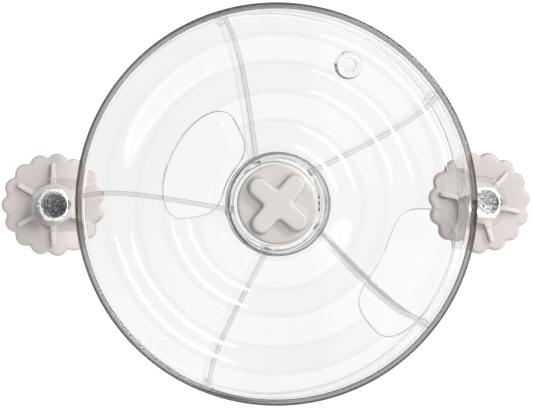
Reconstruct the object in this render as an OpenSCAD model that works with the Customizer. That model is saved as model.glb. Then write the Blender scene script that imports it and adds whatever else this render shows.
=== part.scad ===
// Cage-mounted foraging wheel: a clear round treat drum with five pockets, a turning front
// cover, a centre knob, and two side bolts with scalloped clamp knobs that grip cage bars.
// Frame: +X right, +Z up, front towards -Y. The origin is on the drum's axis, at the back
// face that lies against the cage's bars. Depths named d_ are measured forward from it.

/* [Drum] */
// Outside diameter of the drum
drum_d = 140; // [130:1:150]
// Depth of the drum from the back face to the front lip
drum_depth = 40; // [38:1:44]
// Thickness of the drum's outer wall
wall_t = 2.2; // [1.8:0.1:2.6]
// Thickness of the drum's back wall
back_t = 2.5; // [2:0.1:3.2]
// Thickness of the curved dividers
divider_t = 1.6; // [1.2:0.1:2]
// Angle of the first divider, counter-clockwise from +X as seen from the front
divider_a = 31.8; // [0:0.2:71]
// Thickness of the mounting ears
ear_t = 5; // [4:0.5:6]
// Radius of the mounting ears' round ends
ear_r = 9.7; // [9:0.1:10.5]

/* [Hub] */
// Outside radius of the hub tube
hub_r = 15.9; // [15:0.1:16.2]
// Thickness of the hub tube's wall
hub_t = 1.6; // [1.4:0.1:2]
// Radius of the spigot that the cover turns on
spigot_r = 10; // [9:0.1:11]

/* [Cover] */
// Gap between the cover's edge and the drum's wall
cover_gap = 0.5; // [0.4:0.1:0.8]
// Thickness of the cover
cover_t = 2; // [1.6:0.1:2.2]
// Height of the cover's ring waves, middle to crest
wave_h = 0.9; // [0.4:0.1:0.9]
// Distance from one ring wave's crest to the next
wave_p = 20.05; // [18:0.05:22]
// Radius of the first crest
wave_r0 = 19.3; // [18.5:0.1:21]
// Turn of the cover at rest, counter-clockwise as seen from the front
cover_turn = 0; // [-180:1:180]
// Outside radius of the collar round the centre knob
collar_r = 17.9; // [17.6:0.1:18.2]
// Thickness of the collar's wall
collar_t = 1.3; // [1.1:0.1:1.5]

/* [Knobs] */
// Radius of the centre knob's disc
knob_r = 14; // [13:0.1:15]
// Length of the raised cross grip, tip to tip
grip_l = 24.2; // [22:0.2:25]
// Width of the cross grip's arms
grip_w = 6.6; // [6.4:0.1:7.4]
// Number of scallops on a clamp knob
lobes = 15; // [14:1:18]
// Radius of the circle that the scallops' centres lie on
lobe_pitch_r = 14.85; // [14:0.05:15.5]
// Radius of a scallop
lobe_r = 3.65; // [3.5:0.05:3.9]
// Thickness of a clamp knob's scalloped plate
plate_t = 6; // [5:0.5:7]
// Height of the ribs and boss that face the bars
rib_h = 2.4; // [2:0.1:3]

/* [Fasteners] */
// Gap for the cage's bars between the back face and a clamp knob
bar_gap = 4.4; // [4.2:0.1:6]
// Radius of the bolts' shanks (quarter inch)
shank_r = 3.175; // [3:0.005:3.2]
// Width across the flats of the bolts' heads (seven sixteenths of an inch)
head_af = 11.11; // [10:0.01:11.2]
// Height of the bolts' heads
head_h = 4.4; // [3.8:0.1:4.8]
// Length of the side bolts under the head
side_bolt_l = 25.4; // [25.4:0.1:32]
// Length of the centre bolt under the head
centre_bolt_l = 12.7; // [12.4:0.1:12.7]
// Outside radius of the threaded brass inserts
insert_r = 3.95; // [3.9:0.05:4.2]
// Length of the clamp knobs' inserts
insert_l = 10; // [8:0.5:11]

/* [Hidden] */
$fn = 96;
e = 0.01;
fit = 0.06;                                // radial running clearance
R = drum_d / 2;
Ri = R - wall_t;
bolt_x = R + 7;                            // side bolts' distance from the axis
ear_x = bolt_x - 1.4;
d_cov = drum_depth - 1.6 - cover_t;        // middle of the cover's back face
d_div = d_cov - wave_h - 0.6;              // front edge of the dividers
d_hub = d_div;                             // front shoulder of the hub
cov_r = Ri - cover_gap;
d_web1 = d_hub + 0.45;                     // back face of the cover's flat centre
d_web2 = d_web1 + 3.2;                     // front face of the cover's flat centre
d_spigot = d_web2 + 0.35;                  // front face of the spigot, the knob seats on it
d_seat = d_spigot - 7.9;                   // where the centre bolt's head seats
d_collar = drum_depth + 7;
flange_t = 2.4;
d_top = d_spigot + 6;                      // top of the cross grip
clamp_y = bar_gap;                         // front of a clamp knob's ribs
plate_y = clamp_y + rib_h;
boss_r = 7.4;
clear = [0.93, 0.95, 0.96, 0.35];
beige = [0.84, 0.79, 0.77];
zinc = [0.72, 0.72, 0.72];
brass = [0.78, 0.62, 0.3];

// Turns a drawing made in the X-Y plane to face the front, so that its Z is depth forward
module face() rotate([90, 0, 0]) children();
module slab(d0, d1) face() translate([0, 0, d0]) linear_extrude(d1 - d0) children();
module disc(d0, d1, r) face() translate([0, 0, d0]) cylinder(h = d1 - d0, r = r);
// A cylinder along +Y from y0 to y1
module rod(y0, y1, r) rotate([-90, 0, 0]) translate([0, 0, y0]) cylinder(h = y1 - y0, r = r);

module hexagon(af) circle(r = af / sqrt(3), $fn = 6);

// A cylinder with both rims chamfered by c
module soft_disc(d0, d1, r, c)
  face() rotate_extrude() polygon([[0, d0], [r - c, d0], [r, d0 + c], [r, d1 - c], [r - c, d1], [0, d1]]);

module ear() {
  disc(0, ear_t, ear_r, $fn = 64);
}

module drum_back() color(clear) difference() {
  union() {
    disc(0, back_t, R, $fn = 128);
    for (s = [-1, 1]) difference() {
      union() {
        translate([s * ear_x, 0, 0]) ear();
        slab(0, ear_t) translate([s * (ear_x + R * 0.86) / 2, 0]) square([ear_x - R * 0.86, 2 * ear_r], center = true);
      }
      disc(back_t, ear_t + 1, R, $fn = 128);
      disc(-1, back_t + e, R - 1, $fn = 128);
    }
  }
  for (s = [-1, 1]) translate([s * bolt_x, 0, 0]) disc(-1, ear_t + 1, shank_r + 0.22, $fn = 48);
  disc(-1, back_t + 1, hub_r - hub_t);
}

module drum_wall() color(clear) face() rotate_extrude($fn = 128)
  polygon([[Ri, back_t], [R, back_t], [R, drum_depth - 0.5], [R - 0.5, drum_depth], [Ri + 0.5, drum_depth], [Ri, drum_depth - 0.5]]);

module hub_tube() color(clear) difference() {
  face() rotate_extrude() polygon([[hub_r - hub_t, back_t], [hub_r, back_t], [hub_r, d_hub],
    [spigot_r, d_hub], [spigot_r, d_spigot], [shank_r + fit, d_spigot], [shank_r + fit, d_seat - 2.4],
    [hub_r - hub_t, d_seat - 2.4]]);
  slab(d_seat - 3, d_seat) hexagon(head_af + 0.3);
}

// Sideways bow of a divider at radius r: straightens towards the hub, hooks slightly at the wall
function bow(r) = r < 51 ? 3.05 * pow((51 - r) / 35.3, 1.35) : 1.74 * pow((r - 51) / 15.7, 2.8);
module divider_outline() {
  n = 26;
  r0 = hub_r - 1.5;
  r1 = Ri + 1.5;
  function rr(i) = r0 + (r1 - r0) * i / n;
  polygon(concat([for (i = [0:n]) [rr(i), bow(rr(i)) - divider_t / 2]],
    [for (i = [n:-1:0]) [rr(i), bow(rr(i)) + divider_t / 2]]));
}
module divider(k) color(clear) difference() {
  slab(back_t, d_div) rotate(divider_a + 72 * (k - 1)) divider_outline();
  disc(0, drum_depth, hub_r);
  difference() {
    disc(0, drum_depth, R + 5);
    disc(-1, drum_depth + 1, Ri, $fn = 128);
  }
}

// A bean-shaped outline between two radii and two angles, with large round corners
function sgn(v) = v < 0 ? -1 : 1;
function bean(r0, r1, a0, a1, n, k) = [for (i = [0:n - 1])
  let (t = 360 * i / n,
    rr = (r0 + r1) / 2 + (r1 - r0) / 2 * sgn(sin(t)) * pow(abs(sin(t)), 2 / k),
    aa = (a0 + a1) / 2 + (a1 - a0) / 2 * sgn(cos(t)) * pow(abs(cos(t)), 2 / k))
  [rr * cos(aa), rr * sin(aa)]];

function wave(r) = wave_h * cos(360 * (r - wave_r0) / wave_p);
d_cbase = d_cov + cover_t + wave(collar_r + 0.1);   // where the collar stands on the cover
module cover_profile() {
  n = 40;
  r0 = collar_r + 0.1;
  function rr(i) = r0 + (cov_r - r0) * i / n;
  polygon(concat(
    [[spigot_r + fit, d_web2], [spigot_r + fit, d_web1]],
    [[hub_r - 1, d_web1]],
    [for (i = [0:n]) [rr(i), d_cov + wave(rr(i))]],
    [for (i = [n:-1:0]) [rr(i), d_cov + cover_t + wave(rr(i))]],
    [[collar_r - collar_t, d_cbase], [collar_r - collar_t - 0.3, d_web2]]));
}
module cover_disc() color(clear) rotate([0, -cover_turn, 0]) {
  difference() {
    union() {
      face() rotate_extrude($fn = 128) cover_profile();
      // hollow round peg on the cover's face
      rotate([0, -62.5, 0]) translate([54.3, 0, 0]) face()
        rotate_extrude($fn = 48) polygon([[0, d_cov + 0.6], [5, d_cov + 0.6], [5, d_cov + cover_t + 0.8], [4.2, drum_depth + 3.6], [3.8, drum_depth + 4], [0, drum_depth + 4]]);
    }
    rotate([0, -62.5, 0]) translate([54.3, 0, 0]) disc(d_cov + cover_t, drum_depth + 6, 2.4, $fn = 48);
    slab(d_hub - 3, drum_depth + 3) polygon(bean(18.9, 40.5, 116.3, 188.8, 48, 3.4));
    slab(d_hub - 3, drum_depth + 3) polygon(bean(40.7, 64, 307.5, 358, 48, 3.4));
  }
}
module cover_collar() color(clear) rotate([0, -cover_turn, 0])
  face() rotate_extrude() polygon([[collar_r - collar_t, d_cbase], [collar_r, d_cbase], [collar_r, d_collar - 0.4],
    [collar_r - 0.4, d_collar], [collar_r - collar_t + 0.4, d_collar], [collar_r - collar_t, d_collar - 0.4]]);

// The cross grip: two bars with round ends
module cross_outline() for (a = [49, 139]) rotate(a) {
  square([grip_l - grip_w, grip_w], center = true);
  for (s = [-1, 1]) translate([s * (grip_l - grip_w) / 2, 0]) circle(d = grip_w, $fn = 32);
}
module centre_knob() color(beige) difference() {
  union() {
    face() rotate_extrude() polygon([[0, d_spigot], [knob_r - 0.5, d_spigot], [knob_r, d_spigot + 0.5],
      [knob_r, d_spigot + 1.4], [knob_r - 1, d_spigot + flange_t - 0.2], [knob_r - 3, d_spigot + flange_t], [0, d_spigot + flange_t]]);
    slab(d_spigot + 1, d_top) cross_outline();
  }
  disc(d_spigot - 1, d_spigot + 5.1, insert_r + fit, $fn = 48);
}
module centre_insert() color(brass) difference() {
  disc(d_spigot + 0.1, d_spigot + 4.9, insert_r, $fn = 48);
  disc(d_spigot - 1, d_spigot + 6, shank_r + fit, $fn = 48);
}

// A hexagon-headed bolt whose head seats at depth d and whose shank runs away from it
module bolt_head(d) {
  intersection() {
    slab(d, d + head_h) hexagon(head_af);
    face() rotate_extrude() polygon([[0, d - 1], [head_af, d - 1], [head_af / sqrt(3) + 0.1, d + head_h - 0.95],
      [head_af / 2 - 0.35, d + head_h], [0, d + head_h]]);
  }
}
module centre_bolt() color(zinc) union() {
  mirror([0, 1, 0]) bolt_head(-d_seat);
  soft_disc(d_seat - 0.1, d_seat + centre_bolt_l, shank_r, 0.5, $fn = 48);
}
module side_bolt(s) color(zinc) translate([s * bolt_x, 0, 0]) union() {
  bolt_head(ear_t);
  soft_disc(ear_t - side_bolt_l, ear_t + 0.1, shank_r, 0.5, $fn = 48);
}
module left_bolt() side_bolt(-1);
module right_bolt() side_bolt(1);

// Outline of the scalloped plate, n points to each scallop
function scallops(n) = [for (i = [0:lobes * n - 1])
  let (a = 360 * i / (lobes * n), b = a - round(a * lobes / 360) * 360 / lobes,
    r = lobe_pitch_r * cos(b) + sqrt(lobe_r * lobe_r - pow(lobe_pitch_r * sin(b), 2)))
  [r * cos(a), r * sin(a)]];

// A scalloped clamp knob: plate, ribs and boss towards the bars, hub on the far side
module clamp_knob(turn) difference() {
  union() {
    slab(-plate_y - plate_t, -plate_y) rotate(turn + 6) polygon(scallops(8));
    rod(clamp_y, plate_y + plate_t + 4, boss_r, $fn = 64);
    for (i = [0:5]) rotate([0, -60 * i - turn, 0]) translate([5, clamp_y, -0.85]) cube([9.7, rib_h + 1, 1.7]);
  }
  rod(clamp_y - 1, clamp_y + 1.2 + insert_l, insert_r + fit, $fn = 48);
  rod(clamp_y, plate_y + plate_t + 6, shank_r + 0.25, $fn = 48);
}
module clamp_insert() difference() {
  rod(clamp_y + 1, clamp_y + 1 + insert_l, insert_r, $fn = 48);
  rod(0, clamp_y + 2 + insert_l, shank_r + fit, $fn = 48);
}
module left_clamp_knob() color(beige) translate([-bolt_x, 0, 0]) clamp_knob(30);
module right_clamp_knob() color(beige) translate([bolt_x, 0, 0]) clamp_knob(47);
module left_insert() color(brass) translate([-bolt_x, 0, 0]) clamp_insert();
module right_insert() color(brass) translate([bolt_x, 0, 0]) clamp_insert();

drum_back();
drum_wall();
hub_tube();
divider(1);  // divider_1
divider(2);  // divider_2
divider(3);  // divider_3
divider(4);  // divider_4
divider(5);  // divider_5
centre_bolt();
left_bolt();
right_bolt();
cover_disc();
cover_collar();
centre_insert();
centre_knob();
left_insert();
left_clamp_knob();
right_insert();
right_clamp_knob();
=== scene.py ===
import math

import bmesh
import bpy
from mathutils import Matrix, Vector


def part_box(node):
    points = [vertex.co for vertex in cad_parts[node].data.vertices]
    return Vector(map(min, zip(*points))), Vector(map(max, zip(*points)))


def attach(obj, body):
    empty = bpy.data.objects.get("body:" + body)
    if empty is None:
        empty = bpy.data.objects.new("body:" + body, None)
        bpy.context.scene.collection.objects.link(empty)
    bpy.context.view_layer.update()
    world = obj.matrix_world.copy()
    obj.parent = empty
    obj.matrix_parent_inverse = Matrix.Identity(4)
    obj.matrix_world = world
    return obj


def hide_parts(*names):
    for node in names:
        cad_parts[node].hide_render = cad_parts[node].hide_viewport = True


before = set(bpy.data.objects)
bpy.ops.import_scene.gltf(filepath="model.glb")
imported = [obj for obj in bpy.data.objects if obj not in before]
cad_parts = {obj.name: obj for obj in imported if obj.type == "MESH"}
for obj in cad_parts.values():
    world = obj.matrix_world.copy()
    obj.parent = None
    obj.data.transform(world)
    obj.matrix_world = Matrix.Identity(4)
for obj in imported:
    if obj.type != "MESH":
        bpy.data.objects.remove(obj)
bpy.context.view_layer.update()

scene = bpy.context.scene

# ---------------------------------------------------------------- sizes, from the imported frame, in mm
wall_lo, wall_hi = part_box("drum_wall")
hub_lo, hub_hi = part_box("hub_tube")
div_lo, div_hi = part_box("divider_1")
disc_lo, disc_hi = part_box("cover_disc")
ring_lo, ring_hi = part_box("cover_collar")
knob_lo, knob_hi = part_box("centre_knob")
lb_lo, lb_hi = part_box("left_bolt")
rb_lo, rb_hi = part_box("right_bolt")
cb_lo, cb_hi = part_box("centre_bolt")
back_lo, back_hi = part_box("drum_back")
lk_lo, lk_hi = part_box("left_clamp_knob")
MM = 0.001
R = wall_hi.x / MM                       # 70
LIP = -wall_lo.y / MM                    # 40
BACK = -wall_hi.y / MM                   # 2.5
WALL = 2.2
RI = R - WALL
EAR_T = -back_lo.y / MM                  # 5
HUB = hub_hi.x / MM                      # 15.9
D_SPIG = -hub_lo.y / MM                  # 38.9
D_DIV = -div_lo.y / MM                   # 34.9
COV_R = (disc_hi.z - disc_lo.z) / 2 / MM  # 67.3
COV_R = RI - 0.5
COL_R = ring_hi.x / MM                   # 17.9
D_COL = -ring_lo.y / MM                  # 47
KNOB_R = knob_hi.x / MM                  # 14
D_TOP = -knob_lo.y / MM                  # 44.9
BOLT_X = (rb_lo.x + rb_hi.x) / 2 / MM    # 77
HEAD_D = -rb_lo.y / MM                   # 9.4
HEAD_AF = (rb_hi.z - rb_lo.z) / MM       # 11.11
BOLT_END = rb_hi.y / MM                  # 20.4
CLAMP_Y = lk_lo.y / MM                   # 4.4
CLAMP_END = lk_hi.y / MM                 # 16.8
D_SEAT = -cb_hi.y / MM + 4.4             # head of the centre bolt seats here
D_CB = -cb_lo.y / MM                     # front end of the centre bolt
COVER_T = 2.0
D_COV = LIP - 1.6 - COVER_T
WAVE_H, WAVE_P, WAVE_R0 = 0.9, 20.05, 19.3
DIV_T = 1.6
DIV_A = 31.8


# ---------------------------------------------------------------- mesh helpers
def make(name, verts, faces, smooth=0.0):
    """A mesh object from points in mm, with its sharp edges marked by angle."""
    me = bpy.data.meshes.new(name)
    me.from_pydata([tuple(c * MM for c in v) for v in verts], [], faces)
    me.validate()
    bm = bmesh.new()
    bm.from_mesh(me)
    bmesh.ops.remove_doubles(bm, verts=bm.verts, dist=2e-7)
    bmesh.ops.recalc_face_normals(bm, faces=bm.faces)
    bm.to_mesh(me)
    bm.free()
    o = bpy.data.objects.new(name, me)
    scene.collection.objects.link(o)
    if smooth:
        finish_shade(o, smooth)
    return o


def finish_shade(o, angle=35.0):
    me = o.data
    me.polygons.foreach_set("use_smooth", [True] * len(me.polygons))
    me.set_sharp_from_angle(angle=math.radians(angle))
    me.update()
    m = o.modifiers.new("w", "WEIGHTED_NORMAL")
    m.mode, m.weight, m.keep_sharp = "FACE_AREA", 60, True
    bpy.context.view_layer.update()
    dg = bpy.context.evaluated_depsgraph_get()
    new = bpy.data.meshes.new_from_object(o.evaluated_get(dg))
    o.modifiers.clear()
    o.data = new
    bpy.data.meshes.remove(me)


def front(x, z, d):
    """A point seen from the front at (x, z), d forward of the back face."""
    return (x, -d, z)


def lathe(profile, seg, cx=0.0, cz=0.0, closed=True):
    """Points and faces of a profile of (radius, depth) turned about the axis through (cx, cz)."""
    verts, faces, rings = [], [], []
    for r, d in profile:
        if r < 1e-6:
            rings.append([len(verts)])
            verts.append(front(cx, cz, d))
        else:
            rings.append(list(range(len(verts), len(verts) + seg)))
            for k in range(seg):
                a = 2 * math.pi * k / seg
                verts.append(front(cx + r * math.cos(a), cz + r * math.sin(a), d))
    n = len(rings)
    for i in range(n if closed else n - 1):
        a, b = rings[i], rings[(i + 1) % n]
        if len(a) == 1 and len(b) == 1:
            continue
        for k in range(seg):
            k2 = (k + 1) % seg
            if len(a) == 1:
                faces.append((a[0], b[k], b[k2]))
            elif len(b) == 1:
                faces.append((a[k], b[0], a[k2]))
            else:
                faces.append((a[k], b[k], b[k2], a[k2]))
    return verts, faces


def rounded(points, n=5):
    """A closed path of (x, y, radius) with each corner of that radius turned to an arc of n steps."""
    out, m = [], len(points)
    for i in range(m):
        x, y, r = points[i]
        if r <= 0:
            out.append((x, y))
            continue
        p = Vector((x, y))
        a = Vector(points[i - 1][:2]) - p
        b = Vector(points[(i + 1) % m][:2]) - p
        la, lb = a.length, b.length
        a.normalize()
        b.normalize()
        half = a.angle(b) / 2
        t = min(r / math.tan(half), la * 0.49, lb * 0.49)
        rr = t * math.tan(half)
        c = p + (a + b).normalized() * (rr / math.sin(half))
        s, e = p + a * t - c, p + b * t - c
        a0 = math.atan2(s.y, s.x)
        da = (math.atan2(e.y, e.x) - a0 + math.pi) % (2 * math.pi) - math.pi
        room = t + 0.12
        if la > 2.2 * room:
            out.append(tuple(p + a * room))
        for k in range(n + 1):
            an = a0 + da * k / n
            out.append((c.x + rr * math.cos(an), c.y + rr * math.sin(an)))
        if lb > 2.2 * room:
            out.append(tuple(p + b * room))
    return out


def loft(rings, cap0=True, cap1=True):
    """Faces through rings of points with the same count, closed round, capped by a centre point each."""
    verts, faces = [], []
    n = len(rings[0])
    for ring in rings:
        verts += ring
    for i in range(len(rings) - 1):
        for k in range(n):
            k2 = (k + 1) % n
            faces.append((i * n + k, i * n + k2, (i + 1) * n + k2, (i + 1) * n + k))
    for on, i in ((cap0, 0), (cap1, len(rings) - 1)):
        if on:
            c = [sum(p[j] for p in rings[i]) / n for j in range(3)]
            verts.append(tuple(c))
            for k in range(n):
                k2 = (k + 1) % n
                f = (i * n + k, i * n + k2, len(verts) - 1)
                faces.append(f if i else f[::-1])
    return verts, faces


def boolean(o, cutter, op, keep=False):
    m = o.modifiers.new("b", "BOOLEAN")
    m.operation, m.object, m.solver = op, cutter, "MANIFOLD"
    bpy.context.view_layer.update()
    dg = bpy.context.evaluated_depsgraph_get()
    me = bpy.data.meshes.new_from_object(o.evaluated_get(dg))
    o.modifiers.clear()
    old = o.data
    o.data = me
    bpy.data.meshes.remove(old)
    if not keep:
        bpy.data.objects.remove(cutter)
    return o


# ---------------------------------------------------------------- materials
def material(name):
    m = bpy.data.materials.new(name)
    m.use_nodes = True
    nt = m.node_tree
    nt.nodes.clear()
    out = nt.nodes.new("ShaderNodeOutputMaterial")
    p = nt.nodes.new("ShaderNodeBsdfPrincipled")
    nt.links.new(p.outputs[0], out.inputs["Surface"])
    return m, nt, p, out


def noise(nt, scale, detail=2.0, rough=0.5, stretch=None):
    tc = nt.nodes.new("ShaderNodeTexCoord")
    n = nt.nodes.new("ShaderNodeTexNoise")
    n.inputs["Scale"].default_value = scale
    n.inputs["Detail"].default_value = detail
    n.inputs["Roughness"].default_value = rough
    if stretch:
        mp = nt.nodes.new("ShaderNodeMapping")
        mp.inputs["Scale"].default_value = stretch
        nt.links.new(tc.outputs["Object"], mp.inputs["Vector"])
        nt.links.new(mp.outputs[0], n.inputs["Vector"])
    else:
        nt.links.new(tc.outputs["Object"], n.inputs["Vector"])
    return n.outputs["Fac"]


def ranged(nt, socket, lo, hi, a=0.3, b=0.7):
    r = nt.nodes.new("ShaderNodeMapRange")
    r.inputs["From Min"].default_value, r.inputs["From Max"].default_value = a, b
    r.inputs["To Min"].default_value, r.inputs["To Max"].default_value = lo, hi
    nt.links.new(socket, r.inputs["Value"])
    return r.outputs[0]


def bump(nt, socket, p, strength, distance):
    b = nt.nodes.new("ShaderNodeBump")
    b.inputs["Strength"].default_value = strength
    b.inputs["Distance"].default_value = distance
    nt.links.new(socket, b.inputs["Height"])
    nt.links.new(b.outputs[0], p.inputs["Normal"])
    return b


def clear_plastic(name, lo, hi, tone=(1.0, 1.0, 0.995), ior=1.40):
    """Clear moulded polycarbonate: faint flow ripples, its tint varying between lo and hi."""
    m, nt, p, out = material(name)
    cr = nt.nodes.new("ShaderNodeMix")
    cr.data_type = "RGBA"
    cr.inputs["A"].default_value = (*[lo * t for t in tone], 1)
    cr.inputs["B"].default_value = (*[hi * t for t in tone], 1)
    nt.links.new(ranged(nt, noise(nt, 18, 3), 0, 1), cr.inputs["Factor"])
    nt.links.new(cr.outputs["Result"], p.inputs["Base Color"])
    p.inputs["Transmission Weight"].default_value = 1.0
    p.inputs["IOR"].default_value = ior
    nt.links.new(ranged(nt, noise(nt, 40, 3), 0.012, 0.035), p.inputs["Roughness"])
    bump(nt, noise(nt, 22, 2), p, 0.12, 0.0006)
    lp = nt.nodes.new("ShaderNodeLightPath")
    tr = nt.nodes.new("ShaderNodeBsdfTransparent")
    v = 0.93 * (lo + hi) / 2
    tr.inputs["Color"].default_value = (v, v, v, 1)
    mix = nt.nodes.new("ShaderNodeMixShader")
    nt.links.new(lp.outputs["Is Shadow Ray"], mix.inputs[0])
    nt.links.new(p.outputs[0], mix.inputs[1])
    nt.links.new(tr.outputs[0], mix.inputs[2])
    nt.links.new(mix.outputs[0], out.inputs["Surface"])
    return m


def beige_plastic(name, lo, hi):
    m, nt, p, out = material(name)
    cr = nt.nodes.new("ShaderNodeMix")
    cr.data_type = "RGBA"
    cr.inputs["A"].default_value = (*lo, 1)
    cr.inputs["B"].default_value = (*hi, 1)
    nt.links.new(ranged(nt, noise(nt, 90, 3), 0, 1), cr.inputs["Factor"])
    nt.links.new(cr.outputs["Result"], p.inputs["Base Color"])
    p.inputs["Subsurface Weight"].default_value = 0.25
    p.inputs["Subsurface Radius"].default_value = (1.0, 0.75, 0.6)
    p.inputs["Subsurface Scale"].default_value = 0.0015
    p.inputs["IOR"].default_value = 1.49
    nt.links.new(ranged(nt, noise(nt, 700, 2), 0.38, 0.52), p.inputs["Roughness"])
    bump(nt, noise(nt, 2600, 2), p, 0.10, 0.0001)
    return m


def zinc(name, lo, hi, metal=1.0, rough=(0.16, 0.38), relief=0.3, scale=900):
    m, nt, p, out = material(name)
    cr = nt.nodes.new("ShaderNodeMix")
    cr.data_type = "RGBA"
    cr.inputs["A"].default_value = (lo, lo * 1.01, lo * 1.02, 1)
    cr.inputs["B"].default_value = (hi, hi, hi * 0.985, 1)
    nt.links.new(ranged(nt, noise(nt, scale, 4, 0.6), 0, 1, 0.38, 0.62), cr.inputs["Factor"])
    nt.links.new(cr.outputs["Result"], p.inputs["Base Color"])
    p.inputs["Metallic"].default_value = metal
    nt.links.new(ranged(nt, noise(nt, 1400, 3), *rough), p.inputs["Roughness"])
    bump(nt, noise(nt, 1100, 4, 0.65), p, relief, 0.0001)
    return m


def brass(name):
    m, nt, p, out = material(name)
    cr = nt.nodes.new("ShaderNodeMix")
    cr.data_type = "RGBA"
    cr.inputs["A"].default_value = (0.62, 0.43, 0.17, 1)
    cr.inputs["B"].default_value = (0.78, 0.58, 0.27, 1)
    nt.links.new(ranged(nt, noise(nt, 500, 3), 0, 1), cr.inputs["Factor"])
    nt.links.new(cr.outputs["Result"], p.inputs["Base Color"])
    p.inputs["Metallic"].default_value = 1.0
    nt.links.new(ranged(nt, noise(nt, 900, 3), 0.2, 0.4), p.inputs["Roughness"])
    bump(nt, noise(nt, 1200, 3, 0.5, (1, 12, 1)), p, 0.3, 0.00008)
    return m


MAT_DRUM = clear_plastic("clear_polycarbonate", 0.86, 0.89)
MAT_COVER = clear_plastic("clear_cover_polycarbonate", 0.985, 1.0)
# painted light: a paler, lower-index copy of the clear plastic for side faces, taking out the refraction shade they
# would show
MAT_SIDE_PAINTED_LIGHT = clear_plastic("clear_polycarbonate_side_painted_light", 0.95, 0.99, ior=1.16)
# painted shade: the drum's front rim, outer and inner faces, tinted near black to stand in for the dark refraction
# outline
MAT_RIM_PAINTED_SHADE = clear_plastic("clear_polycarbonate_rim_painted_shade", 0.010, 0.04, (1.0, 0.94, 0.87))
MAT_INNER_RIM_PAINTED_SHADE = clear_plastic("clear_polycarbonate_inner_rim_painted_shade", 0.12, 0.22, (1.0, 0.96, 0.92))
# painted shade: the cover collar's front rim tinted dark to stand in for its refraction outline
MAT_COLLAR_RIM_PAINTED_SHADE = clear_plastic("clear_cover_rim_painted_shade", 0.14, 0.21, (1.0, 0.96, 0.91))
# painted shade: a darker tint on the openings' edge faces, standing in for their refraction outline
MAT_CUT_EDGE_PAINTED_SHADE = clear_plastic("clear_cut_edge_painted_shade", 0.74, 0.88)
# painted shade: divider front edges tinted grey, standing in for the refraction shade along them
MAT_DIVIDER_EDGE_PAINTED_SHADE = clear_plastic("clear_divider_edge_painted_shade", 0.50, 0.62)
# painted shade: the clear keys at the dividers' inner ends tinted dark to stand in for their refraction shade
MAT_KEY_PAINTED_SHADE = clear_plastic("clear_divider_key_painted_shade", 0.08, 0.16)
MAT_BEIGE = beige_plastic("beige_moulded_plastic", (0.437, 0.413, 0.396), (0.461, 0.437, 0.419))
# painted highlight: a lighter beige for the cross grip's rounded top edges
MAT_GRIP_EDGE_PAINTED_HIGHLIGHT = beige_plastic("beige_grip_edge_painted_highlight", (0.470, 0.445, 0.427), (0.500, 0.474, 0.455))
# painted shade and light: the clamp plate in a darker beige, its rib and boss tops in a lighter one
MAT_PLATE_PAINTED_SHADE = beige_plastic("beige_clamp_plate_painted_shade", (0.450, 0.406, 0.394), (0.482, 0.440, 0.426))
MAT_RIB_PAINTED_LIGHT = beige_plastic("beige_rib_painted_light", (0.52, 0.486, 0.471), (0.555, 0.521, 0.505))
MAT_ZINC = zinc("zinc_plated_steel", 0.40, 0.72)
# the head face's own mottled zinc, also used as a painted dark reflection on the head's left and right hex corners
MAT_FACE_AND_CORNER_SHADE = zinc("zinc_head_face_and_painted_corner_shade", 0.16, 0.70, 1.0, (0.12, 0.26), 0.22, 1100)
# painted highlight: a bright, half-metal zinc for the front-facing chamfer of the bolt heads
MAT_CHAMFER_PAINTED_HIGHLIGHT = zinc("zinc_head_chamfer_painted_highlight", 0.66, 0.78, 0.4, (0.22, 0.35), 0.05)
MAT_BRASS = brass("turned_brass")


def paint(o, mat, test):
    """Give the faces for which test(radius, depth, normal) holds another material."""
    me = o.data
    me.materials.append(mat)
    i = len(me.materials) - 1
    for f in me.polygons:
        c = f.center / MM
        if test(math.hypot(c.x, c.z), -c.y, f.normal, c):
            f.material_index = i


def dress(o, mat, body, slot, *nodes):
    o.data.materials.clear()
    o.data.materials.append(mat)
    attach(o, body)
    if nodes:
        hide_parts(*nodes)
    return o


# ---------------------------------------------------------------- the drum: one clear moulding
def bow(r):
    if r < 51:
        return 3.05 * ((51 - r) / 35.3) ** 1.35
    return 1.74 * ((r - 51) / 15.7) ** 2.8


def divider(name, angle):
    """A curved wall swept along its bow, with a round front edge and flared ends."""
    r0, r1, n = HUB - 0.8, RI + 0.8, 44
    rings = []
    for i in range(n + 1):
        r = r0 + (r1 - r0) * i / n
        b = bow(max(r, 1))
        tb = (bow(r + 0.2) - bow(r - 0.2)) / 0.4
        nx, ny = -tb / math.hypot(1, tb), 1 / math.hypot(1, tb)
        flare = 0.0
        for dist in (r - HUB, RI - r):
            dist = max(dist, 0)
            if dist < 1.2:
                flare += 1.2 - math.sqrt(max(0, 1.44 - (1.2 - dist) ** 2))
        h = DIV_T / 2 + flare
        pts = [(-h, BACK - 1.0), (h, BACK - 1.0)]
        c = 0.28
        for k in range(7):
            a = math.pi * k / 6
            pts.append((h - c + c * math.cos(a) if k < 4 else -(h - c) + c * math.cos(a), D_DIV - c + c * math.sin(a)))
        ring = []
        for off, d in pts:
            x, y = r + nx * off, b + ny * off
            ca, sa = math.cos(math.radians(angle)), math.sin(math.radians(angle))
            ring.append(front(x * ca - y * sa, x * sa + y * ca, d))
        rings.append(ring)
    v, f = loft(rings)
    return make(name, v, f)


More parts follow.
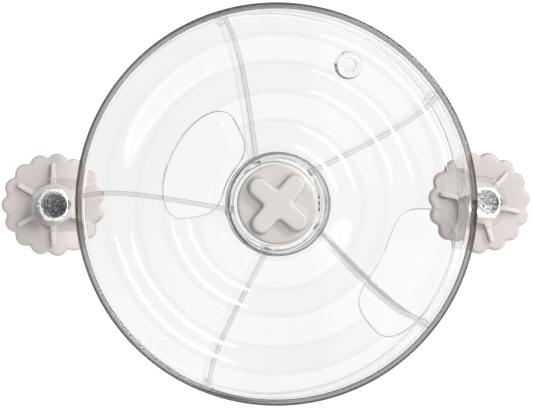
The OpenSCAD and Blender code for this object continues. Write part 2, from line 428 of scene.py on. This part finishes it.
def ear(name, s):
    """A rounded tab from the drum's side, its edges eased, with a bore for the bolt."""
    cx, r = BOLT_X - 1.4, 9.7
    base = []
    n = 40
    for k in range(n + 1):
        a = -math.pi / 2 + math.pi * k / n
        base.append((math.cos(a), math.sin(a)))
    rings = []
    for d, inset in ((0, 0.5), (0.15, 0.15), (0.5, 0), (EAR_T - 0.6, 0), (EAR_T - 0.2, 0.2), (EAR_T, 0.6)):
        rr = r - inset
        pts = [(68.4, -rr)] + [(cx + rr * c, rr * q) for c, q in base] + [(68.4, rr)]
        rings.append([front(s * x, z, d) for x, z in (pts if s > 0 else pts[::-1])])
    v, f = loft(rings)
    return make(name, v, f)


def prism(name, outline, d0, d1):
    rings = [[front(x, z, d) for x, z in outline] for d in (d0, d1)]
    v, f = loft(rings)
    return make(name, v, f)


def circle(r, n, cx=0.0, cz=0.0, a0=0.0):
    return [(cx + r * math.cos(a0 + 2 * math.pi * k / n), cz + r * math.sin(a0 + 2 * math.pi * k / n)) for k in range(n)]


def key(name, angle):
    """The small cross piece where a divider meets the hub's shoulder."""
    ca, sa = math.cos(math.radians(angle)), math.sin(math.radians(angle))
    b = bow(HUB)
    rings = []
    for d in (D_DIV - 0.9, D_DIV + 0.22, D_DIV + 0.3):
        e = 0.08 if d > D_DIV + 0.25 else 0.0
        box = [(15.05 + e, b - 1.3 + e), (15.95 - e, b - 1.3 + e), (15.95 - e, b + 1.3 - e), (15.05 + e, b + 1.3 - e)]
        rings.append([front(x * ca - y * sa, x * sa + y * ca, d) for x, y in box])
    v, f = loft(rings)
    return make(name, v, f)


drum_profile = rounded([
    (HUB - 1.6, 0, 0.3), (R, 0, 0.9), (R, LIP, 0.7), (RI, LIP, 0.6), (RI, BACK, 0.6), (HUB, BACK, 0.6),
    (HUB, D_DIV, 0.25), (10, D_DIV, 0.2), (10, D_SPIG, 0.3), (3.24, D_SPIG, 0.3), (3.24, D_SEAT - 2.4, 0.2),
    (HUB - 1.6, D_SEAT - 2.4, 0.8)], 6)
drum = make("drum_moulding", *lathe(drum_profile, 288))
for k in range(5):
    boolean(drum, divider(f"d{k}", DIV_A + 72 * k), "UNION")
for k in range(5):
    boolean(drum, key(f"k{k}", DIV_A + 72 * k), "UNION")
for s in (-1, 1):
    boolean(drum, ear(f"e{s}", s), "UNION")
    boolean(drum, prism("c", circle(3.4, 48, s * BOLT_X), -1, EAR_T + 1), "DIFFERENCE")
boolean(drum, prism("h", circle((HEAD_AF + 0.3) / math.sqrt(3), 6), D_SEAT - 4, D_SEAT), "DIFFERENCE")
finish_shade(drum, 32)
dress(drum, MAT_DRUM, "drum", "clear_plastic", "drum_back", "drum_wall", "hub_tube",
      "divider_1", "divider_2", "divider_3", "divider_4", "divider_5")
# painted shade on the drum's front rim: outer and inner faces in the dark-tinted clear plastic
paint(drum, MAT_RIM_PAINTED_SHADE, lambda r, d, n, c: r > RI + 1.05 and d > LIP - 0.75)
paint(drum, MAT_INNER_RIM_PAINTED_SHADE, lambda r, d, n, c: RI - 0.05 < r < RI + 1.05 and d > LIP - 0.75)
# painted light on the divider sides, the wall's back fillet and the hub's sides: paler, lower-index clear plastic
paint(drum, MAT_SIDE_PAINTED_LIGHT, lambda r, d, n, c: HUB + 0.4 < r < RI - 0.5 and BACK + 0.4 < d < D_DIV - 0.3 and abs(n.y) < 0.3)
paint(drum, MAT_SIDE_PAINTED_LIGHT, lambda r, d, n, c: RI - 0.8 < r < RI + 0.1 and d < BACK + 0.75 and d > BACK - 0.1)
paint(drum, MAT_SIDE_PAINTED_LIGHT, lambda r, d, n, c: HUB - 1.7 < r < HUB + 0.1 and 0.4 < d < D_DIV - 0.2 and abs(n.y) < 0.7)
# painted shade on the divider keys
paint(drum, MAT_KEY_PAINTED_SHADE, lambda r, d, n, c: 15.0 < r < 16.4 and d > D_DIV + 0.2)
# painted shade on the dividers' front edges
paint(drum, MAT_DIVIDER_EDGE_PAINTED_SHADE, lambda r, d, n, c: HUB + 0.6 < r < RI - 0.3 and d > D_DIV - 0.75)


# ---------------------------------------------------------------- the cover: one clear moulding
def wave(r):
    return WAVE_H * math.cos(2 * math.pi * (r - WAVE_R0) / WAVE_P)


D_WEB1, D_WEB2 = D_DIV + 0.45, D_DIV + 3.65
cov = [(10.06, D_WEB1, 0.15), (HUB - 1, D_WEB1, 0)]
N = 110
r0 = COL_R + 0.25
rs = [r0 + (COV_R - 0.5 - r0) * i / N for i in range(N + 1)]
cov += [(r, D_COV + wave(r), 0) for r in rs]
cov += [(COV_R, D_COV + wave(COV_R) + 0.45, 0.3), (COV_R, D_COV + COVER_T + wave(COV_R) - 0.45, 0.3)]
cov += [(r, D_COV + COVER_T + wave(r), 0) for r in rs[::-1]]
cov += [(COL_R, D_COV + COVER_T + wave(r0) + 0.2, 0), (COL_R, D_COL, 0.4), (COL_R - 1.3, D_COL, 0.4),
        (COL_R - 1.3, D_WEB2, 0.2), (10.06, D_WEB2, 0.2)]
cover = make("cover_moulding", *lathe(rounded(cov, 5), 288))
PEG_A, PEG_R = math.radians(62.5), 54.3
px, pz = PEG_R * math.cos(PEG_A), PEG_R * math.sin(PEG_A)
peg_front = D_COV + COVER_T + wave(PEG_R)
peg = rounded([(0, D_COV + 0.9, 0), (4.95, D_COV + 0.9, 0), (4.95, peg_front + 0.4, 0.3), (4.5, LIP + 3.6, 0.0), (4.1, LIP + 4, 0.3),
               (2.4, LIP + 4, 0.25), (2.4, peg_front + 0.3, 0.3), (0, peg_front + 0.3, 0)], 4)
boolean(cover, make("peg", *lathe(peg, 64, px, pz, closed=False)), "UNION")


def bean(r0, r1, a0, a1, n, k):
    out = []
    for i in range(n):
        t = 2 * math.pi * i / n
        s, c = math.sin(t), math.cos(t)
        rr = (r0 + r1) / 2 + (r1 - r0) / 2 * math.copysign(abs(s) ** (2 / k), s)
        aa = math.radians((a0 + a1) / 2 + (a1 - a0) / 2 * math.copysign(abs(c) ** (2 / k), c))
        out.append((rr * math.cos(aa), rr * math.sin(aa)))
    return out


def bead(name, pts):
    """A fine rounded rim that follows an opening's outline and the cover's wave."""
    n, m = len(pts), 12
    verts, faces = [], []
    for i in range(n):
        (ax, ay), (bx, by) = pts[i - 1], pts[(i + 1) % n]
        tx, ty = bx - ax, by - ay
        h = math.hypot(tx, ty)
        nx, ny = ty / h, -tx / h
        for k in range(m):
            a = 2 * math.pi * k / m
            c, q = math.cos(a), math.sin(a)
            off = 0.30 * c
            x, z = pts[i][0] + nx * off, pts[i][1] + ny * off
            up = 1.16 * math.copysign(abs(q) ** 0.7, q)
            verts.append(front(x, z, D_COV + COVER_T / 2 + wave(math.hypot(*pts[i])) + up))
    for i in range(n):
        for k in range(m):
            i2, k2 = (i + 1) % n, (k + 1) % m
            faces.append((i * m + k, i * m + k2, i2 * m + k2, i2 * m + k))
    return make(name, verts, faces)


CUTS = []
for args in ((18.9, 40.5, 116.3, 188.8), (40.7, 64, 307.5, 358)):
    CUTS.append(bean(*args, 144, 3.4))
    boolean(cover, prism("c", bean(*args, 144, 3.4), D_COV - 4, LIP + 3), "DIFFERENCE")
for k, pts in enumerate(CUTS):
    boolean(cover, bead(f"bead{k}", pts), "UNION")
finish_shade(cover, 40)
dress(cover, MAT_COVER, "cover", "clear_cover", "cover_disc", "cover_collar")
# painted light on the collar's walls: paler, lower-index clear plastic
paint(cover, MAT_SIDE_PAINTED_LIGHT, lambda r, d, n, c: COL_R - 1.45 < r < COL_R + 0.1 and d > D_WEB2 + 0.3)
# painted shade on the collar's front rim
paint(cover, MAT_COLLAR_RIM_PAINTED_SHADE, lambda r, d, n, c: COL_R - 0.95 < r < COL_R + 0.1 and d > D_COL - 0.5)


def cut_near(x, z):
    for pts in CUTS:
        for k in range(0, len(pts), 2):
            if (pts[k][0] - x) ** 2 + (pts[k][1] - z) ** 2 < 0.9:
                return True
    return False


# painted light on the peg's sides: paler, lower-index clear plastic
paint(cover, MAT_SIDE_PAINTED_LIGHT, lambda r, d, n, c: math.hypot(c.x - px, c.z - pz) < 5.1 and d > peg_front and abs(n.y) < 0.9)
# painted shade on the edge faces round the two openings
paint(cover, MAT_CUT_EDGE_PAINTED_SHADE, lambda r, d, n, c: abs(n.y) < 0.96 and r > COL_R + 0.6 and r < COV_R - 1 and cut_near(c.x, c.z))


# ---------------------------------------------------------------- beige knobs
def smin(a, b, k):
    h = max(k - abs(a - b), 0) / k
    return min(a, b) - h * h * k / 4


def cross_radius(phi, grow, length, width, angle, blend=1.6):
    """Distance from the centre to the cross grip's outline, grown by grow, along phi."""
    def sd(r):
        x, y = r * math.cos(phi), r * math.sin(phi)
        ds = []
        for a in (angle, angle + math.pi / 2):
            u = x * math.cos(a) + y * math.sin(a)
            v = -x * math.sin(a) + y * math.cos(a)
            q = max(abs(u) - (length - width) / 2, 0)
            ds.append(math.hypot(q, v) - width / 2)
        return smin(ds[0], ds[1], blend)
    lo, hi = 0.0, length
    for _ in range(34):
        mid = (lo + hi) / 2
        if sd(mid) < grow:
            lo = mid
        else:
            hi = mid
    return (lo + hi) / 2


def centre_knob():
    n = 480
    base, top = D_SPIG + 0.03, D_TOP
    fl = base + 2.4
    L, W, A = 24.2, 6.6, math.radians(49)
    rings = []

    def circ(r, d):
        rings.append([front(r * math.cos(2 * math.pi * k / n), r * math.sin(2 * math.pi * k / n), d) for k in range(n)])

    def cross(grow, d, share=1.0):
        rings.append([])
        for k in range(n):
            phi = 2 * math.pi * k / n
            r = cross_radius(phi, grow, L, W, A) * share
            rings[-1].append(front(r * math.cos(phi), r * math.sin(phi), d))

    # from the bore's floor outwards under the flange, then round it and up to the grip's top
    circ(0.6, base + 5.1)
    circ(4.0, base + 5.1)
    circ(4.0, base + 0.3)
    circ(4.25, base)
    circ(KNOB_R - 0.6, base)
    for t in range(1, 7):
        a = math.pi / 2 * t / 6
        circ(KNOB_R - 0.6 + 0.6 * math.sin(a), base + 0.6 - 0.6 * math.cos(a))
    for t in range(0, 9):
        a = math.pi / 2 * t / 8
        circ(KNOB_R - 1.1 + 1.1 * math.cos(a), fl - 1.1 - 0.12 + 1.1 * math.sin(a))
    circ(KNOB_R - 2.4, fl)
    for grow, up in ((0.95, 0.0), (0.68, 0.08), (0.46, 0.24), (0.34, 0.5), (0.26, 0.9), (0.05, top - fl - 1.05)):
        cross(grow, fl + up)
    for t in range(1, 8):
        a = math.pi / 2 * t / 7
        cross(0.05 - 1.0 * (1 - math.cos(a)), top - 1.0 + 1.0 * math.sin(a))
    cross(-1.6, top)
    cross(-1.6, top - 0.02, 0.5)
    v, f = loft(rings)
    return make("centre_knob_grip", v, f, 40)


grip = dress(centre_knob(), MAT_BEIGE, "centre_grip", "beige_plastic", "centre_knob")
# painted highlight on the grip's rounded top edges
paint(grip, MAT_GRIP_EDGE_PAINTED_HIGHLIGHT, lambda r, d, n, c: (d > D_TOP - 1.05 and abs(n.y) < 0.97))


def clamp_knob(name, cx, turn):
    """Scalloped plate, its rim eased, with ribs and a boss towards the bars and a hub behind."""
    lobes, pr, lr, n = 15, 14.85, 3.65, 15 * 26
    y0, y1 = CLAMP_Y + 2.4, CLAMP_END - 4

    def outline(inset):
        pts = []
        for k in range(n):
            a = 2 * math.pi * k / n
            b = (a + math.pi / lobes) % (2 * math.pi / lobes) - math.pi / lobes
            q = lr - inset
            r = pr * math.cos(b) + math.sqrt(max(q * q - (pr * math.sin(b)) ** 2, 0.0))
            m = 16.8 - inset + 0.28 * (abs(b) / (math.pi / lobes)) ** 8
            r = -smin(-r, -m, 0.7)
            q = a + turn + math.radians(6)
            pts.append((r * math.cos(q), r * math.sin(q)))
        return pts

    rings = []
    for inset, y in ((1.6, y0 + 0.0), (1.1, y0 + 0.02), (0.62, y0 + 0.15), (0.3, y0 + 0.4), (0.1, y0 + 0.75), (0.0, y0 + 1.2),
                     (0.0, y1 - 1.2), (0.1, y1 - 0.75), (0.3, y1 - 0.4), (0.62, y1 - 0.15), (1.1, y1 - 0.02), (1.6, y1)):
        rings.append([(cx + x, y, z) for x, z in outline(inset)])
    o = make(name, *loft(rings))
    # boss towards the bars and hub behind, one turned piece
    prof = rounded([(4.02, -CLAMP_Y, 0.2), (7.4, -CLAMP_Y, 0.5), (7.4, -(y0 - 0.02), 0), (8.0, -(y0 + 0.6), 0), (8.0, -(y1 - 0.6), 0), (7.9, -y1 - 0.01, 0.1),
                    (7.2, -CLAMP_END, 0.9), (3.45, -CLAMP_END, 0.4), (3.45, -(CLAMP_Y + 11.2), 0.1), (4.02, -(CLAMP_Y + 11.2), 0.1)], 5)
    boss = make("boss", *lathe(prof, 96, cx))
    plug = prism("plug", circle(7.0, 64, cx), -(y1 + 1), -(y0 - 1))
    boolean(o, plug, "DIFFERENCE")
    for i in range(6):
        a = turn + math.radians(60 * i)
        rings = []
        for t, (u, w, h) in enumerate(((5.4, 1.3, 2.4), (7.6, 1.15, 2.4), (9.0, 0.92, 2.4), (11, 0.86, 2.38), (13.6, 0.84, 2.3), (14.4, 0.78, 2.1), (14.75, 0.6, 1.7))):
            sec = [(-w - 0.35, 1.0), (-w - 0.12, 0.35 - 0.4), (-w, -h * 0.45), (-w, -h + 0.45), (-w + 0.12, -h + 0.14), (-w + 0.4, -h),
                   (w - 0.4, -h), (w - 0.12, -h + 0.14), (w, -h + 0.45), (w, -h * 0.45), (w + 0.12, 0.35 - 0.4), (w + 0.35, 1.0)]
            ring = []
            for off, h2 in sec:
                x, z = u * math.cos(a) - off * math.sin(a), u * math.sin(a) + off * math.cos(a)
                ring.append((cx + x, y0 + h2, z))
            rings.append(ring)
        boolean(o, make("rib", *loft(rings)), "UNION")
    boolean(o, boss, "UNION")
    finish_shade(o, 38)
    return o


for side, cx, turn in (("left", -BOLT_X, 30), ("right", BOLT_X, 47)):
    o = clamp_knob(side + "_clamp_knob_grip", cx, math.radians(turn))
    # painted shade: the clamp plate in the darker beige
    dress(o, MAT_PLATE_PAINTED_SHADE, side + "_grip", "beige_plastic", side + "_clamp_knob")
    # painted light: rib and boss tops towards the bars in the lighter beige
    paint(o, MAT_RIB_PAINTED_LIGHT, lambda r, d, n, c: -d < CLAMP_Y + 2.2)


# ---------------------------------------------------------------- bolts
def bolt(name, cx, seat, end, direction, turn=0.0):
    """A hexagon-headed bolt: chamfered head with a shallow dished face, rolled thread on its shank.
    seat and end are depths; direction is +1 when the head is in front of its seat."""
    n, H, rc = 96, 4.4, 5.0
    rings = []

    def ring(fr, d):
        rings.append([front(cx + fr(2 * math.pi * k / n) * math.cos(2 * math.pi * k / n + turn),
                            fr(2 * math.pi * k / n) * math.sin(2 * math.pi * k / n + turn),
                            d if not callable(d) else d(2 * math.pi * k / n)) for k in range(n)])

    def hexr(a, inset=0.0):
        b = a % (math.pi / 3) - math.pi / 6
        r = (HEAD_AF / 2 - inset) / math.cos(b)
        return min(r, HEAD_AF / math.sqrt(3) - 0.12 - inset)

    s = direction
    # thread: rings along the shank with a helical root
    pitch, depth = 1.27, 0.42
    length = abs(end - seat)
    steps = int(length / pitch * 10)
    body = []
    for i in range(steps + 1):
        t = length * i / steps
        fade = min(1, max(0, (t - 0.6) / 1.2)) * min(1, max(0, (length - t) / 1.0) + 0.35)
        ring_pts = []
        for k in range(n):
            a = 2 * math.pi * k / n
            ph = (t / pitch - s * a / (2 * math.pi)) % 1.0
            tri = abs(2 * ph - 1)
            tri = min(1, max(0, (tri - 0.1) / 0.8))
            r = 3.17 - depth * (1 - tri) * fade
            if t > length - 0.7:
                r = min(r, 3.17 - (t - (length - 0.7)) * 0.85)
            ring_pts.append(front(cx + r * math.cos(a), r * math.sin(a), seat - s * t))
        body.append(ring_pts)
    rings += body[::-1]
    ring(lambda a: 3.3, seat - s * 0.02)
    ring(lambda a: HEAD_AF / 2 - 0.25, seat)
    ring(lambda a: hexr(a, 0.12), seat + s * 0.1)
    ring(lambda a: hexr(a), seat + s * 0.3)
    ring(lambda a: hexr(a), lambda a: seat + s * (H - (hexr(a) - rc) * 0.56 - 0.06))
    ring(lambda a: hexr(a) - 0.05, lambda a: seat + s * (H - (hexr(a) - rc) * 0.56))
    ring(lambda a: rc + 0.05, seat + s * (H - 0.02))
    ring(lambda a: rc - 0.1, seat + s * H)
    ring(lambda a: rc - 0.3, seat + s * (H - 0.02))
    ring(lambda a: rc - 0.46, seat + s * (H - 0.22))
    for q in (4.3, 3.5, 2.4, 1.4, 0.5):
        ring(lambda a: q, seat + s * (H - 0.24 - 0.09 * (1 - (q / 4.54) ** 2)))
    v, f = loft(rings)
    return make(name, v, f, 30)


for name, cx, seat, end, s in (("left", -BOLT_X, EAR_T, -BOLT_END, 1), ("right", BOLT_X, EAR_T, -BOLT_END, 1), ("centre", 0.0, D_SEAT, D_CB, -1)):
    o = bolt(name + "_bolt_detail", cx, seat, end, s)
    dress(o, MAT_ZINC, "drum", "zinc_steel", name + "_bolt")
    top = seat + s * 3.0
    # head face in its own zinc; the left and right hex corners (|x| > 5) in the same dark zinc as painted reflection
    # shade
    paint(o, MAT_FACE_AND_CORNER_SHADE, lambda r, d, n, c: s * (d - top) > 0 and (math.hypot(c.x - cx, c.z) < 4.62 or abs(c.x - cx) > 5.0))
    # painted highlight on the head's front-facing chamfer
    paint(o, MAT_CHAMFER_PAINTED_HIGHLIGHT, lambda r, d, n, c: s * (d - top) > -0.4 and math.hypot(c.x - cx, c.z) > 4.62 and abs(c.x - cx) < 5.0 and -s * n.y > 0.3)


# ---------------------------------------------------------------- brass inserts
def insert(name, cx, d0, d1):
    """A turned insert with two knurled bands and a groove between them."""
    n = 96
    L = d1 - d0
    rings = []
    prof = [(3.24, d0 + 0.25, 0), (3.5, d0, 0), (3.7, d0, 0), (3.93, d0 + 0.25, 1), (3.93, d0 + L * 0.36, 1), (3.6, d0 + L * 0.42, 0), (3.6, d0 + L * 0.58, 0),
            (3.93, d0 + L * 0.64, 1), (3.93, d1 - 0.25, 1), (3.7, d1, 0), (3.5, d1, 0), (3.24, d1 - 0.25, 0)]
    verts, faces = [], []
    for r, d, knurl in prof:
        for k in range(n):
            a = 2 * math.pi * k / n
            rr = r - (0.14 * (k % 2) if knurl else 0)
            verts.append(front(cx + rr * math.cos(a), rr * math.sin(a), d))
    m = len(prof)
    for i in range(m):
        j = (i + 1) % m
        for k in range(n):
            k2 = (k + 1) % n
            faces.append((i * n + k, j * n + k, j * n + k2, i * n + k2))
    return make(name, verts, faces, 25)


ci_lo, ci_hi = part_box("centre_insert")
dress(insert("centre_insert_detail", 0.0, -ci_hi.y / MM, -ci_lo.y / MM), MAT_BRASS, "centre_thread", "brass_insert", "centre_insert")
for side, cx in (("left", -BOLT_X), ("right", BOLT_X)):
    a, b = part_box(side + "_insert")
    dress(insert(side + "_insert_detail", cx, -b.y / MM, -a.y / MM), MAT_BRASS, side + "_thread", "brass_insert", side + "_insert")


# ---------------------------------------------------------------- stage
def plain(name, colour, rough=0.8, emit=0.0):
    m, nt, p, out = material(name)
    p.inputs["Base Color"].default_value = (*colour, 1)
    p.inputs["Roughness"].default_value = rough
    p.inputs["Specular IOR Level"].default_value = 0.2
    if emit:
        p.inputs["Emission Color"].default_value = (1, 1, 1, 1)
        p.inputs["Emission Strength"].default_value = emit
    return m


def card(name, corners, mat):
    me = bpy.data.meshes.new(name)
    me.from_pydata(corners, [], [tuple(range(len(corners)))])
    o = bpy.data.objects.new(name, me)
    scene.collection.objects.link(o)
    me.materials.append(mat)
    return o


FLOOR_Z = -0.25
floor = card("floor", [(3.2 * math.cos(2 * math.pi * k / 96), 3.2 * math.sin(2 * math.pi * k / 96), FLOOR_Z) for k in range(96)],
             plain("floor_pale", (0.88, 0.88, 0.88)))
PY = 2.5
card("backdrop", [(-0.95, PY, FLOOR_Z), (0.95, PY, FLOOR_Z), (0.95, PY, 0.95), (-0.95, PY, 0.95)], plain("backdrop_white", (0.0, 0.0, 0.0), 1.0, 1.11))
DARK = plain("flag_dark", (0.03, 0.03, 0.03), 0.9)
for s in (-1, 1):
    card("side_flag", [(s * 0.97, PY - 0.02, FLOOR_Z), (s * 1.75, PY - 0.35, FLOOR_Z), (s * 1.75, PY - 0.35, 1.5), (s * 0.97, PY - 0.02, 1.5)], DARK)
card("top_flag", [(-0.97, PY - 0.01, 0.97), (0.97, PY - 0.01, 0.97), (0.97, PY - 0.3, 1.6), (-0.97, PY - 0.3, 1.6)], DARK)
card("front_flag", [(-0.62, -2.5, -0.24), (0.24, -2.5, -0.24), (0.24, -2.5, 0.42), (-0.62, -2.5, 0.42)], DARK)

world = bpy.data.worlds.new("world")
scene.world = world
world.use_nodes = True
world.node_tree.nodes["Background"].inputs["Color"].default_value = (0.98, 0.99, 1.0, 1)
world.node_tree.nodes["Background"].inputs["Strength"].default_value = 0.48


def area(name, at, aim, size_x, size_y, power, roll=0.0):
    l = bpy.data.lights.new(name, "AREA")
    l.shape = "RECTANGLE"
    l.size, l.size_y, l.energy = size_x, size_y, power
    o = bpy.data.objects.new(name, l)
    scene.collection.objects.link(o)
    d = Vector(aim) - Vector(at)
    o.rotation_mode = "QUATERNION"
    q = d.to_track_quat("-Z", "Y")
    o.rotation_quaternion = q @ Matrix.Rotation(roll, 3, "Z").to_quaternion()
    o.location = at
    return o


key_dir = Vector((0.285, -0.9375, 0.191)).normalized()
key = area("key", tuple(key_dir * 2.2), (0, -0.04, 0), 0.66, 0.26, 19.5, roll=math.radians(-48))
side_key = area("side_key", tuple(Vector((0.60, -0.64, 0.48)).normalized() * 2.2), (0, -0.04, 0), 0.45, 0.45, 26.0)
side_key.visible_camera = False
for name, at in (("soft_left", (-1.75, -0.95, 0.25)), ("soft_right", (1.75, -0.95, 0.25)), ("soft_top", (0.0, -0.95, 1.75))):
    soft = area(name, at, (0, -0.02, 0), 0.95, 0.95, 2.8)
    soft.visible_camera = False

for x in (-1.3, 1.3):
    fill = area("back_fill", (x, 1.7, 1.0), (0, 0, 0), 1.0, 1.0, 10.0)
    fill.visible_camera = False
    fill.visible_transmission = False
    fill.visible_glossy = False

# ---------------------------------------------------------------- camera
cam_data = bpy.data.cameras.new("camera")
cam = bpy.data.objects.new("camera", cam_data)
scene.collection.objects.link(cam)
scene.camera = cam
cam_data.sensor_width = 36
cam_data.lens = 234.5
at, look = Vector((-0.0914, -1.240, 0.0033)), Vector((-0.0038, -0.040, -0.0003))
cam.location = at
cam.rotation_mode = "QUATERNION"
q = (look - at).to_track_quat("-Z", "Y")
cam.rotation_quaternion = q @ Matrix.Rotation(math.radians(-0.26), 3, "Z").to_quaternion()
cam_data.clip_start, cam_data.clip_end = 0.05, 30

scene.view_settings.view_transform = "Standard"
scene.cycles.max_bounces = 28
scene.cycles.transmission_bounces = 24
scene.cycles.glossy_bounces = 12
scene.cycles.transparent_max_bounces = 24
scene.cycles.diffuse_bounces = 4
